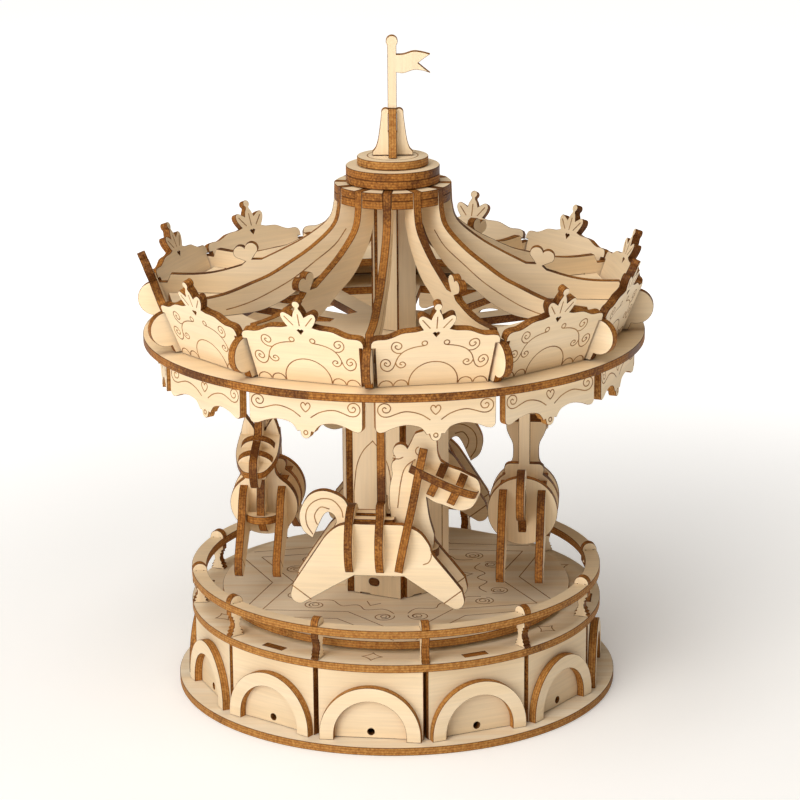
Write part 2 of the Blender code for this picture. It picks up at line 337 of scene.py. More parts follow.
def add_line(body, points, height, width=LINE_W):
    """A burnt line on the face at the given height, as a thin closed strip."""
    line = [Vector(p) for p in points]
    closed = (line[0] - line[-1]).length < 0.02
    if closed:
        line.pop()
    left = []
    right = []
    last = len(line) - 1
    for i, spot in enumerate(line):
        before = (spot - line[i - 1]).normalized()
        after = (line[(i + 1) % len(line)] - spot).normalized()
        if not closed and i == 0:
            before = after
        if not closed and i == last:
            after = before
        offset = mitre(before, after) * width / 2
        left.append(spot + offset)
        right.append(spot - offset)
    sign = 1 if height > 0 else -1
    raised = height + sign * 0.02
    sunk = height - sign * 0.02
    if sign < 0:
        left, right = right, left
    top_left, top_right = body.ring(left, raised), body.ring(right, raised)
    low_left, low_right = body.ring(left, sunk), body.ring(right, sunk)
    rounds = (top_left, top_right, low_right, low_left, top_left)
    for a, b in zip(rounds, rounds[1:]):
        body.bridge(a, b, BURNT, closed)
    if not closed:
        body.face((top_left[0], low_left[0], low_right[0], top_right[0]), BURNT)
        body.face((top_right[-1], low_right[-1], low_left[-1], top_left[-1]), BURNT)


def plate_mesh(outlines, lines=(), back_lines=(), thickness=PLY):
    body = Body()
    add_plate(body, outlines, thickness)
    for line in lines:
        add_line(body, line, thickness / 2)
    for line in back_lines:
        add_line(body, line, -thickness / 2)
    return body.mesh("plate")


# ---------------------------------------------------------------- materials

class Nodes:
    """A short way to wire a material's nodes."""

    def __init__(self, name, roughness):
        self.material = bpy.data.materials.new(name)
        self.material.use_nodes = True
        self.tree = self.material.node_tree
        self.shader = self.tree.nodes["Principled BSDF"]
        self.shader.inputs["Metallic"].default_value = 0.0
        self.shader.inputs["Specular IOR Level"].default_value = 0.3
        self.shader.inputs["Roughness"].default_value = roughness

    def add(self, kind, **settings):
        node = self.tree.nodes.new(kind)
        for key, value in settings.items():
            setattr(node, key, value)
        return node

    def link(self, source, target):
        self.tree.links.new(source, target)

    def feed(self, socket, value):
        if isinstance(value, bpy.types.NodeSocket):
            self.link(value, socket)
        else:
            socket.default_value = value

    def math(self, operation, a, b=0.0, c=0.0):
        node = self.add("ShaderNodeMath", operation=operation)
        for socket, value in zip(node.inputs, (a, b, c)):
            self.feed(socket, value)
        return node.outputs[0]

    def piece_coordinates(self):
        """The piece's own coordinates, moved by a random amount for each piece."""
        place = self.add("ShaderNodeTexCoord").outputs["Object"]
        chance = self.add("ShaderNodeObjectInfo").outputs["Random"]
        move = self.add("ShaderNodeVectorMath", operation="ADD")
        spread = self.add("ShaderNodeCombineXYZ")
        self.link(self.math("MULTIPLY", chance, 1.7), spread.inputs[0])
        self.link(self.math("MULTIPLY", chance, 3.1), spread.inputs[1])
        self.link(place, move.inputs[0])
        self.link(spread.outputs[0], move.inputs[1])
        return place, move.outputs[0], chance

    def stretched(self, vector, scale):
        node = self.add("ShaderNodeMapping")
        node.inputs["Scale"].default_value = scale
        self.link(vector, node.inputs["Vector"])
        return node.outputs[0]

    def noise(self, vector, scale, detail=3.0, distortion=0.0):
        node = self.add("ShaderNodeTexNoise")
        node.inputs["Scale"].default_value = scale
        node.inputs["Detail"].default_value = detail
        node.inputs["Distortion"].default_value = distortion
        self.link(vector, node.inputs["Vector"])
        return node.outputs["Fac"]

    def between(self, value, start, end, to_start=0.0, to_end=1.0):
        node = self.add("ShaderNodeMapRange", interpolation_type="SMOOTHSTEP")
        for socket, number in zip(node.inputs, (value, start, end, to_start, to_end)):
            self.feed(socket, number)
        return node.outputs[0]

    def mix(self, share, a, b, blend="MIX"):
        node = self.add("ShaderNodeMix", data_type="RGBA", blend_type=blend)
        self.feed(node.inputs[0], share)
        self.feed(node.inputs[6], a)
        self.feed(node.inputs[7], b)
        return node.outputs[2]

    def bump(self, height, strength, distance):
        node = self.add("ShaderNodeBump")
        node.inputs["Strength"].default_value = strength
        node.inputs["Distance"].default_value = distance
        self.link(height, node.inputs["Height"])
        self.link(node.outputs[0], self.shader.inputs["Normal"])


def face_material(name, pale, warm, grain_along_y=False):
    """Sanded basswood veneer: fine fibres, broad bands, short pores and a tint of its own."""
    n = Nodes(name, 0.62)
    _, spot, chance = n.piece_coordinates()
    along = (55.0, 1500.0, 300.0) if not grain_along_y else (1500.0, 55.0, 300.0)
    fibres = n.noise(n.stretched(spot, along), 1.0, 4.0, 0.2)
    bands = n.noise(n.stretched(spot, tuple(v * 0.12 for v in along)), 1.0, 2.0, 0.5)
    pores = n.noise(n.stretched(spot, tuple(v * 2.6 for v in along)), 1.0, 2.0)
    clouds = n.noise(spot, 38.0, 2.0)
    colour = n.mix(n.between(bands, 0.32, 0.68), pale, warm)
    shade = n.between(fibres, 0.3, 0.72, 0.95, 1.03)
    pore_shade = n.between(pores, 0.62, 0.78, 1.0, 0.92)
    cloud_shade = n.between(clouds, 0.3, 0.7, 0.96, 1.02)
    tint = n.between(chance, 0.0, 1.0, 0.95, 1.03)
    fine = n.math("MULTIPLY", shade, pore_shade)
    total = n.math("MULTIPLY", fine, n.math("MULTIPLY", cloud_shade, tint))
    grey = n.add("ShaderNodeCombineColor")
    for socket in grey.inputs[:3]:
        n.link(total, socket)
    n.link(n.mix(1.0, colour, grey.outputs[0], "MULTIPLY"), n.shader.inputs["Base Color"])
    n.link(n.between(fibres, 0.3, 0.7, 0.56, 0.68), n.shader.inputs["Roughness"])
    n.bump(n.math("MULTIPLY_ADD", pores, -0.5, fibres), 0.25, 0.00008)
    return n.material


def edge_material(name, golden, brown, char, char_share):
    """A laser-cut edge: toasted plies, fine scorch marks across them and charred patches."""
    n = Nodes(name, 0.55)
    n.shader.inputs["Specular IOR Level"].default_value = 0.1
    place, spot, _ = n.piece_coordinates()
    split = n.add("ShaderNodeSeparateXYZ")
    n.link(place, split.inputs[0])
    depth = n.math("ABSOLUTE", split.outputs[2])
    grains = n.noise(spot, 1500.0, 3.0)
    marks = n.noise(n.stretched(spot, (900.0, 900.0, 120.0)), 1.0, 3.0, 0.6)
    patches = n.noise(n.stretched(spot, (48.0, 48.0, 24.0)), 1.0, 2.0, 0.4)
    colour = n.mix(n.between(grains, 0.25, 0.78), golden, brown)
    colour = n.mix(n.between(marks, 0.46, 0.74, 0.0, 0.55), colour, brown)
    from_core = n.math("ABSOLUTE", n.math("SUBTRACT", depth, 0.00042))
    colour = n.mix(n.between(from_core, 0.00003, 0.0002, 0.4, 0.0), colour, char)
    rim = n.between(depth, 0.0008, 0.00118, 0.0, 0.75)
    colour = n.mix(rim, colour, char)
    burn = n.math("MULTIPLY_ADD", grains, 0.25, patches)
    burnt = n.between(burn, 0.82 - char_share, 1.06 - char_share)
    colour = n.mix(n.math("MULTIPLY", burnt, 0.75), colour, char)
    n.link(colour, n.shader.inputs["Base Color"])
    n.link(n.between(burnt, 0.0, 1.0, 0.6, 0.42), n.shader.inputs["Roughness"])
    n.bump(n.math("MULTIPLY_ADD", marks, 0.8, grains), 0.5, 0.00015)
    return n.material


def line_material():
    """Scorched engraving, darker where the beam lingered."""
    n = Nodes("engraved_line", 0.75)
    _, spot, _ = n.piece_coordinates()
    heat = n.noise(spot, 420.0, 3.0)
    colour = n.mix(n.between(heat, 0.35, 0.7), (0.38, 0.19, 0.06, 1), (0.18, 0.07, 0.02, 1))
    n.link(colour, n.shader.inputs["Base Color"])
    n.bump(heat, 0.2, 0.00005)
    return n.material


def floor_material():
    n = Nodes("studio_floor", 0.9)
    spot = n.add("ShaderNodeTexCoord").outputs["Object"]
    mottle = n.between(n.noise(spot, 3.0), 0.3, 0.7, 0.0, 1.0)
    n.link(n.mix(mottle, (0.9, 0.9, 0.9, 1), (0.93, 0.93, 0.93, 1)), n.shader.inputs["Base Color"])
    reach = n.add("ShaderNodeVectorMath", operation="LENGTH")
    n.link(spot, reach.inputs[0])
    n.shader.inputs["Emission Color"].default_value = (1.0, 1.0, 1.0, 1)
    n.link(n.between(reach.outputs["Value"], 0.08, 0.5, 0.2, 0.78), n.shader.inputs["Emission Strength"])
    return n.material


# The first colour is paler than the wood's own tone: painted light, used only on the up-facing base, top and
# deck discs.
PAINTED_LIGHT_PALE = (0.94, 0.82, 0.64, 1)
PALE = (0.88, 0.71, 0.49, 1)
WARM = (0.85, 0.67, 0.44, 1)
TAN = (0.56, 0.28, 0.075, 1)
GOLDEN = (0.50, 0.215, 0.045, 1)
UMBER = (0.31, 0.115, 0.025, 1)
BROWN = (0.23, 0.075, 0.015, 1)
CHAR = (0.05, 0.013, 0.005, 1)

face_across = face_material("basswood_across", PALE, WARM)
face_upright = face_material("basswood_upright", PALE, WARM, True)
# A paler copy of the basswood: painted light that makes the up-facing base, top and deck discs brighter than
# the rest of the wood.
face_painted_light = face_material("basswood_painted_light", PAINTED_LIGHT_PALE, PALE)
edge_toasted = edge_material("laser_edge", TAN, UMBER, CHAR, 0.12)
edge_charred = edge_material("laser_edge_charred", GOLDEN, BROWN, CHAR, 0.28)
line_burnt = line_material()


# ---------------------------------------------------------------- pieces

def piece(name, body, mesh, place, nodes, face=face_across, edge=edge_toasted):
    """One wooden piece, put in place, that rides on its body and stands for CAD nodes."""
    own = mesh.copy()
    own.name = name
    for material in (face, edge, line_burnt):
        own.materials.append(material)
    item = bpy.data.objects.new(name, own)
    bpy.context.scene.collection.objects.link(item)
    item.matrix_world = place
    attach(item, body)
    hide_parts(*nodes)


# ---------------------------------------------------------------- base

def arch_outline():
    outer = ARCH_HALF_W
    inner = ARCH_HALF_W - ARCH_BAND
    outer_curve = arc(0, ARCH_LEG, outer, 0, 180, 36)
    inner_curve = arc(0, ARCH_LEG, inner, 180, 0, 30)
    return [(outer, 0)] + outer_curve + [(-outer, 0), (-inner, 0)] + inner_curve + [(inner, 0)]


def wall_outline(height, with_tab):
    """A wall board, with a tab that fills a slot of the top plate."""
    half, tab = WALL_HALF_W, 3.5
    top = [(half, height), (-half, height)]
    if with_tab:
        tab_top = height + PLY - SEAM
        top[1:1] = [(tab, height), (tab, tab_top), (-tab, tab_top), (-tab, height)]
    return [(-half, 0), (half, 0)] + top


def star(outer, inner, steps=5):
    """A four-pointed star with hollow sides."""
    points = []
    for quarter in range(4):
        angle = math.radians(90 * quarter)
        tip = Vector((math.cos(angle), math.sin(angle)))
        after = Vector((-tip.y, tip.x))
        waist = (tip + after) * inner
        for i in range(steps):
            t = i / steps
            spot = tip * outer * (1 - t) ** 2 + waist * 2 * t * (1 - t) + after * outer * t * t
            points.append((spot.x, spot.y))
    return points + points[:1]


def moved_to(points, azimuth, radius):
    """An outline drawn round the origin, in (tangent, outward), moved onto a horizontal disc."""
    outward, tangent = directions(azimuth)
    shifted = []
    for x, y in points:
        spot = outward * (radius + y) + tangent * x
        shifted.append((spot.x, spot.y))
    return shifted


def post_outline():
    """A fence post in (radius, height): notched foot, waist, neck through the rail and a knob."""
    foot = TOP_PLATE_TOP + SEAM
    rail_top = RAIL_Z + PLY
    knob = FENCE_TOP - rail_top
    half = [(2.2, foot), (2.2, foot + 0.5), (1.6, foot + 0.7), (2.0, foot + 1.4), (1.3, foot + 1.7),
            (1.5, foot + 2.3), (1.0, foot + 2.8), (0.9, foot + 3.8), (1.25, foot + 4.5),
            (1.0, foot + 4.9), (1.7, foot + 5.4), (1.4, foot + 5.9), (2.1, foot + 6.3),
            (2.1, RAIL_Z - SEAM), (1.15, RAIL_Z - SEAM), (1.15, rail_top + SEAM), (knob, rail_top + SEAM)]
    half += arc(0, rail_top + SEAM, knob - SEAM, 0, 90, 10)
    return [(POST_R + x, y) for x, y in mirrored(half)]


def build_base():
    plate = plate_mesh([circle(PLATE_R, 200), circle(BASE_BORE_R, 32)])
    piece("base_disc", "base", plate, lying(0), ["base_plate"], face_painted_light)

    height = TOP_PLATE_Z - PLATE_TOP - 2 * SEAM
    drain = circle(1.0, 20, 0, 1.95)
    walls = [plate_mesh([wall_outline(height, tab), drain]) for tab in (False, True)]
    arch = plate_mesh([arch_outline()])
    for i in range(SIDES):
        azimuth = WALL_MID_AZ + STEP * i
        wall_place = facing(azimuth, WALL_APOTHEM - PLY / 2, PLATE_TOP + SEAM)
        arch_place = nudged(facing(azimuth, WALL_APOTHEM + PLY / 2 + 0.02, PLATE_TOP + SEAM))
        piece(f"wall_board_{i + 1:02d}", "base", walls[i % 2], wall_place, ["base_wall_ring"],
              edge=edge_charred)
        piece(f"arch_board_{i + 1:02d}", "base", arch, arch_place, ["base_wall_ring"])

    slots = []
    stars = []
    for i in range(SIDES):
        azimuth = WALL_MID_AZ + STEP * i
        if i % 2:
            gap = rectangle(-3.6, -PLY / 2 - 0.06, 3.6, PLY / 2 + 0.06)
            slots.append(moved_to(gap, azimuth, WALL_APOTHEM - PLY / 2))
        else:
            stars.append(moved_to(star(2.9, 0.9), azimuth, STAR_R))
    top = plate_mesh([circle(TOP_PLATE_R, 200), circle(BASE_BORE_R, 32)] + slots, stars)
    piece("base_top_disc", "base", top, lying(TOP_PLATE_Z), ["base_top_plate"], face_painted_light)

    notch = rectangle(-PLY / 2 - 0.05, -1.2, PLY / 2 + 0.05, 1.2)
    notches = [moved_to(notch, POST_AZ + STEP * i, POST_R) for i in range(SIDES)]
    rail = plate_mesh([circle(RAIL_R, 200), circle(RAIL_R - RAIL_W, 180)] + notches)
    piece("fence_rail", "base", rail, lying(RAIL_Z), ["fence"])
    post = plate_mesh([post_outline()])
    for i in range(SIDES):
        place = nudged(radial(POST_AZ + STEP * i), 0.02, 0.0)
        piece(f"fence_post_{i + 1:02d}", "base", post, place, ["fence"], face_upright,
              edge_charred)

    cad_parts["pivot_pin"].data.materials.clear()
    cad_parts["pivot_pin"].data.materials.append(edge_toasted)


# ---------------------------------------------------------------- deck and column

def deck_lines():
    """Six sectors of engraving: nested chevrons, a wavy line and two pairs of curls."""
    chevrons = [[(-30, 47.0), (0, 31.0), (30, 47.0)], [(-26.5, 51.6), (0, 37.5), (26.5, 51.6)],
                [(2.5, 20.6), (8.5, 23.8), (15, 21.2)]]
    half = [(0, 24.8), (3.5, 25.6), (7.5, 27.6), (12.5, 27.0), (18.0, 26.0), (22.5, 27.0), (26.0, 29.6)]
    lines = []
    for k in range(6):
        middle = -27.5 + 60 * k
        for chevron in chevrons:
            lines.append([azimuth_point(middle + a, r) for a, r in chevron])
        line = [(middle - a, r) for a, r in half[:0:-1]] + [(middle + a, r) for a, r in half]
        lines.append(polar_line(line))
        for side in (-1, 1):
            outward, tangent = directions(middle + 20.8 * side)
            for curl in (spiral(0, 0, 3.2, 90 - 70 * side, -side * 1.25, 0.5),
                         spiral(0.2 * side, 0.1, 1.9, 90 + 160 * side, side * 1.4, 0.25)):
                spots = [outward * (32.3 - y) + tangent * x for x, y in curl]
                lines.append([(p.x, p.y) for p in spots])
    return lines


def build_deck_and_column():
    deck = plate_mesh([circle(DECK_R, 180), circle(DECK_BORE_R, 32)], deck_lines())
    piece("deck_disc", "turntable", deck, lying(DECK_Z), ["deck"], face_painted_light)

    height = WHEEL_Z - DECK_TOP - 2 * SEAM
    corner = COLUMN_APOTHEM * math.tan(math.radians(30))
    butt = corner - PLY * math.cos(math.radians(30)) - SEAM
    bottom = DECK_TOP + SEAM
    oval = arc(0.55, 4.2, 1.15, -90, 90, 8) + arc(-0.55, 4.2, 1.15, 90, 270, 8)
    foot = [(-butt, 0), (-4.5, 0), (-4.5, 0.35), (-1.5, 0.35), (-1.5, 0), (corner - 3, 0), (corner, 0)]
    lancet = [(-6.3, 6.8)] + smooth([(-6.3, 32.0), (-5.3, 39.8), (-3.2, 44.7), (0, 48.2)], 5)
    board = plate_mesh([foot + [(corner, height), (-butt, height)], oval],
                       [lancet + [(-x, y) for x, y in lancet[-2::-1]]])
    tab = plate_mesh([[(x * 0.9, 4.2 + (y - 4.2) * 0.9) for x, y in oval]], thickness=PLY + 0.3)
    azimuths = [COLUMN_FACE_AZ + 360 / COLUMN_SIDES * i for i in range(COLUMN_SIDES)]
    for i, azimuth in enumerate(azimuths):
        nodes = [f"column_panel_{i + 1}"]
        place = facing(azimuth, COLUMN_APOTHEM - PLY / 2, bottom)
        piece(f"column_board_{i + 1}", "turntable", board, place, nodes, face_upright,
              edge_charred)
        piece(f"column_tab_{i + 1}", "turntable", tab, place, nodes, edge_toasted, edge_charred)

    core_low = WHEEL_TOP + SEAM
    core_height = HUB_Z - core_low - SEAM
    half = CORE_APOTHEM * math.tan(math.radians(30))
    slat = plate_mesh([rectangle(-half + 0.75, 0, half + 0.55, core_height)])
    for i, azimuth in enumerate(azimuths):
        place = facing(azimuth, CORE_APOTHEM - PLY / 2, core_low)
        piece(f"core_slat_{i + 1}", "turntable", slat, place, ["column_core"], face_upright,
              edge_charred)


# ---------------------------------------------------------------- canopy

def opening_outline(azimuth):
    """One opening of the canopy wheel, between two spokes, seen from above."""
    half_angle = math.radians(STEP / 2)
    outward, tangent = directions(azimuth)
    points = []
    for radius, side in ((OPENING_INNER_R, -1), (OPENING_OUTER_R, -1), (OPENING_OUTER_R, 1),
                         (OPENING_INNER_R, 1)):
        half = radius * math.sin(half_angle) - SPOKE_HALF_W
        spot = outward * radius * math.cos(half_angle) + tangent * side * half
        points.append((spot.x, spot.y))
    return points


def valance_outline():
    """A hanging board with a wavy foot and a round pendant, in (tangent, height)."""
    top = WHEEL_Z - SEAM
    foot = VALANCE_FOOT
    half = arc(0, foot + 1.5, 1.5, -90, -5, 6)
    half += smooth([(1.7, foot + 2.1), (2.6, foot + 2.0), (3.1, foot + 2.8), (4.6, foot + 4.2),
                    (8.0, foot + 4.9), (11.5, foot + 4.3), (14.2, foot + 3.2)])
    half += arc(15.3, foot + 4.5, 1.45, -110, 0, 6)
    return mirrored(half + [(16.8, top - 3.0), (16.8, top)])


def valance_lines():
    """Scrolls, a heart in the middle and a small ring on the pendant, in (tangent, height)."""
    side = [smooth([(1.5, 100.1), (2.6, 100.9), (4.1, 101.8), (6.5, 102.6), (8.9, 102.8), (11.2, 102.2),
                    (13.2, 101.6), (14.9, 101.8), (16.0, 103.0), (15.9, 104.5), (14.7, 105.4),
                    (13.2, 105.1), (12.5, 104.0), (13.1, 102.9), (14.3, 102.9), (14.8, 103.8),
                    (14.2, 104.3), (13.7, 103.9)])]
    heart = smooth([(0, 101.6), (0.9, 102.4), (1.4, 103.4), (1.0, 104.2), (0.3, 104.1), (0, 103.5)], 3)
    ring = circle(0.6, 12, 0, 95.7)
    return side + flipped(side) + [heart] + flipped([heart]) + [ring + ring[:1]]


def heart_bump():
    """The heart on a rib's upper edge, outer side first, as it stands on the edge."""
    tip = Vector((42.4, 127.2))
    axis = Vector((math.sin(math.radians(18)), math.cos(math.radians(18))))
    across = Vector((axis.y, -axis.x))
    right = [(1.0, 1.4), (2.6, 2.7)] + arc(1.75, 4.4, 2.0, -30, 170, 10)
    outline = right + [(-u, v) for u, v in reversed(right)]
    spots = [tip + across * u + axis * v for u, v in outline]
    return [(p.x, p.y) for p in spots]


def rib_outline(with_heart):
    """A canopy rib in (radius, height)."""
    level = SHELF_Z + PLY + SEAM
    under = smooth([(11.0, HUB_TOP - 10.0), (13.5, 137.0), (17.5, 132.2), (20.0, 129.8), (23.5, 127.4),
                    (28.5, 125.0), (35.2, 121.2), (41.0, 119.1), (45.0, level + 0.1), (48.4, level)], 3)
    foot = RIB_FOOT
    outer = [(63.0, level), (63.0, foot), (69.0, foot)] + arc(71.3, 116.4, 5.1, -105, 95, 22)
    outer.append((67.4, 121.5))
    sweep = [(66.3, 124.0), (60.5, 123.95), (55.7, 124.3), (51.0, 125.2), (45.0, 127.0), (39.0, 128.9),
             (32.6, 132.1), (26.6, 135.4), (20.8, 139.7), (18.2, 143.0), (17.3, 147.0)]
    if with_heart:
        over = smooth(sweep[:5], 3) + heart_bump() + smooth(sweep[5:], 3)
    else:
        over = smooth(sweep, 3)
    return [(11.0, HUB_TOP)] + under + outer + over + [(17.1, HUB_TOP)]


def rib_line():
    """The engraved line along the middle of a rib without a heart."""
    return smooth([(15.5, 140.3), (19.2, 135.8), (25.6, 131.5), (32.0, 127.4), (38.4, 124.4), (45.0, 121.9),
                   (50.0, 120.7), (53.3, 120.2)])


def crown_panel_outline():
    """Splayed sides, rising top edge and a leafed crest, in (tangent, height)."""
    half = [(0, 0), (15.4, 0), (16.6, 13.15), (17.85, 13.15)]
    half += smooth([(17.85, 14.6), (17.3, 15.6), (15.9, 16.0), (14.2, 16.0), (13.0, 16.2), (11.5, 16.8),
                    (9.6, 17.7), (7.5, 18.0), (5.6, 18.1), (3.7, 18.6)], 2)
    half += smooth([(3.7, 18.6), (4.7, 20.2), (5.2, 21.6), (5.1, 22.6), (4.6, 23.1), (3.9, 23.2),
                    (2.9, 22.7), (1.7, 21.9)], 2)[1:]
    half += smooth([(1.7, 21.9), (1.5, 22.6), (1.2, 23.5), (0.65, 24.4)], 2)[1:]
    return mirrored(half + arc(0, 25.9, 1.15, -60, 90, 10))


def crown_panel_lines():
    """Scrolls at both sides, a half circle in the middle and scallops along the foot."""
    ring = circle(0.75, 14, 3.05, 14.2)
    stem = smooth([(3.0, 13.4), (5.2, 13.1), (7.2, 12.5), (8.9, 11.5), (10.1, 10.0), (10.7, 8.3), (11.0, 7.2),
                   (11.6, 6.0), (12.8, 5.3), (14.3, 6.1), (14.9, 7.7), (14.5, 9.0), (13.5, 9.4), (12.5, 8.8),
                   (12.15, 7.7), (12.85, 6.95), (13.8, 7.6), (13.6, 8.3), (13.1, 8.0)])
    upper = smooth([(9.3, 11.2), (10.6, 11.3), (11.75, 12.2), (12.15, 13.3), (11.85, 14.5), (10.9, 15.0),
                    (9.7, 14.45), (9.3, 13.5), (9.7, 12.7), (10.4, 12.55), (11.1, 13.2), (11.0, 13.8),
                    (10.5, 13.7)])
    lower = smooth([(10.7, 8.0), (10.3, 7.0), (9.3, 6.3), (8.35, 6.6), (7.95, 7.4), (8.6, 8.2), (9.35, 8.1),
                    (9.5, 7.5), (8.9, 7.3)])
    scallops = [arc(8.95, 0.2, 2.0, 4, 176, 8), arc(13.1, 0.2, 1.95, 4, 176, 8)]
    side = [ring + ring[:1], stem, upper, lower] + scallops
    return side + flipped(side) + [arc(0, 1.1, 6.8, -7, 187, 24)]


def slotted(edge, slot_foot, between=()):
    """A plate with an open slot for each rib, seen from above.

    The points in between are (azimuth from the middle of two ribs, radius)."""
    points = []
    half = PLY / 2 + 0.12
    for i in range(SIDES):
        outward, tangent = directions(RIB_AZ + STEP * i)
        for depth, side in ((edge, -1), (slot_foot, -1), (slot_foot, 1), (edge, 1)):
            spot = outward * depth + tangent * side * half
            points.append((spot.x, spot.y))
        middle = RIB_AZ + STEP * (i + 0.5)
        points += [azimuth_point(middle + turn, radius) for turn, radius in between]
    return points


def build_canopy():
    openings = [opening_outline(PANEL_AZ + STEP * i) for i in range(SIDES)]
    wheel = plate_mesh([circle(WHEEL_R, 220)] + openings)
    piece("canopy_disc", "turntable", wheel, lying(WHEEL_Z), ["canopy_wheel"], edge=edge_charred)

    shelf = plate_mesh([slotted(SHELF_R, SHELF_SLOT_R), circle(SHELF_INNER_R, 140)])
    piece("shelf_ring", "turntable", shelf, lying(SHELF_Z), ["crown_shelf"])

    valance = plate_mesh([valance_outline()], valance_lines())
    pip = [(0, 16.2), (0.9, 17.4), (0.45, 17.7), (0, 17.35), (-0.45, 17.7), (-0.9, 17.4)]
    slits = [[(4.1, 21.9), (1.8, 19.0)], [(0, 22.8), (0, 18.9)], [(-4.1, 21.9), (-1.8, 19.0)]]
    panel = plate_mesh([crown_panel_outline(), pip], crown_panel_lines() + slits, slits)
    ribs = [plate_mesh([rib_outline(False)], [rib_line()], [rib_line()]), plate_mesh([rib_outline(True)])]
    foot_z = WHEEL_TOP + SEAM + PLY / 2 * math.sin(math.radians(PANEL_LEAN))
    for i in range(SIDES):
        number = f"{i + 1:02d}"
        azimuth = PANEL_AZ + STEP * i
        valance_place = nudged(facing(azimuth, VALANCE_R))
        piece(f"valance_{number}", "turntable", valance, valance_place, ["canopy_wheel"])
        panel_place = nudged(facing(azimuth, PANEL_R - PLY / 2, foot_z, PANEL_LEAN))
        piece(f"crown_board_{number}", "turntable", panel, panel_place, [f"crown_panel_{number}"],
              edge=edge_charred)
        piece(f"roof_rib_{number}", "turntable", ribs[i % 2], radial(RIB_AZ + STEP * i),
              [f"canopy_rib_{number}"], edge=edge_charred)

    cap = plate_mesh([circle(CAP_R, 90)])
    hub = plate_mesh([slotted(HUB_R - 0.06, HUB_SLOT_R, [(turn, HUB_R) for turn in (-8, -4, 0, 4, 8)])])
    for i, ply in enumerate(("lower", "upper")):
        piece(f"hub_ring_{ply}", "turntable", hub, lying(HUB_Z + i * PLY + 0.01), ["hub_rings"],
              edge=edge_charred)
    for i, ply in enumerate(("lower", "upper")):
        piece(f"cap_{ply}", "turntable", cap, lying(CAP_Z + i * PLY + 0.01), ["cap_discs"],
              edge=edge_charred)
    top = plate_mesh([circle(TOP_CAP_R, 80)], [circle(7.4, 48) + [(7.4, 0)]])
    piece("cap_top", "turntable", top, lying(TOP_CAP_Z), ["cap_disc_top"])


def finial_outline(notch_from_top):
    """A finial plate with two round lobes on top and a slot for its partner."""
    height = FINIAL_TOP - FINIAL_Z
    side = smooth([(5.7, 1.2), (4.9, 2.2), (4.2, 4.6), (3.7, 8.0), (3.3, height - 2.6),
                   (3.25, height - 1.4)], 3)
    half = [(5.9, 0), (5.9, 0.9)] + side + arc(1.95, height - 1.3, 1.3, 0, 150, 9)
    slot = PLY / 2 + 0.05
    middle = height * 0.5
    if notch_from_top:
        return mirrored([(0, 0)] + half + [(slot, height - 1.6), (slot, middle), (0, middle)])
    return mirrored([(0, middle), (slot, middle), (slot, 0)] + half + [(0, height - 1.9)])


def flag_outline():
    """A swallow-tailed flag, its pole and the ball on top, in (tangent, height)."""
    pole, ball = 1.3, 1.7
    tip = FLAG_TOP - ball
    cloth = smooth([(pole, tip - 9.0), (3.4, tip - 9.2), (6.2, tip - 8.3), (8.8, tip - 8.5),
                    (11.0, tip - 9.2)])
    cloth += smooth([(11.0, tip - 9.2), (9.0, tip - 7.6), (7.5, tip - 6.3)], 3)[1:]
    cloth += smooth([(7.5, tip - 6.3), (9.2, tip - 5.0), (11.0, tip - 3.8)], 3)[1:]
    cloth += smooth([(11.0, tip - 3.8), (8.8, tip - 3.2), (6.2, tip - 2.9), (3.4, tip - 3.7),
                     (pole, tip - 3.8)])[1:]
    top = [(pole, tip - 1.1)] + arc(0, tip, ball, -40, 220, 20) + [(-pole, tip - 1.1)]
    return [(-pole, FINIAL_TOP), (pole, FINIAL_TOP)] + cloth + top


def build_finial():
    for name, turn, from_top in (("finial_front", 0, True), ("finial_side", 90, False)):
        plate = plate_mesh([finial_outline(from_top)])
        piece(name, "turntable", plate, facing(turn, 0, FINIAL_Z), ["finial_cross"], face_upright)
    flag = plate_mesh([flag_outline()])
    piece("flag_and_pole", "turntable", flag, facing(0, 0), ["flag"], face_upright)


# ---------------------------------------------------------------- horses

def side_plate():
    """Flank and two legs, in (forward, height), with hoof lines."""
    under_fore = [(6.9, 46.8), (19.0, 38.6)] + arc(21.7, 39.8, 2.6, -100, 15, 10)
    shoulder = smooth([(23.6, 43.0), (20.0, 47.6), (16.4, 52.0), (14.9, 54.2), (14.2, 56.5), (11.9, 59.8),
                       (9.0, 61.6), (6.2, 62.4)], 3)
    haunch = smooth([(-9.5, 62.4), (-12.4, 61.4), (-15.3, 58.9), (-18.0, 55.0), (-25.0, 44.2)], 3)
    under_hind = arc(-23.2, 40.6, 2.7, 170, 285, 10) + [(-14.1, 43.0), (-7.4, 46.8)]
    hooves = [[(18.4, 39.0), (23.6, 43.1)], [(-25.4, 43.4), (-19.9, 39.2)]]
    knee = smooth([(14.8, 54.0), (14.7, 52.6), (13.9, 51.2), (12.4, 50.6)], 3)
    outline = under_fore + shoulder + haunch + under_hind
    return plate_mesh([outline], hooves + [knee], hooves)


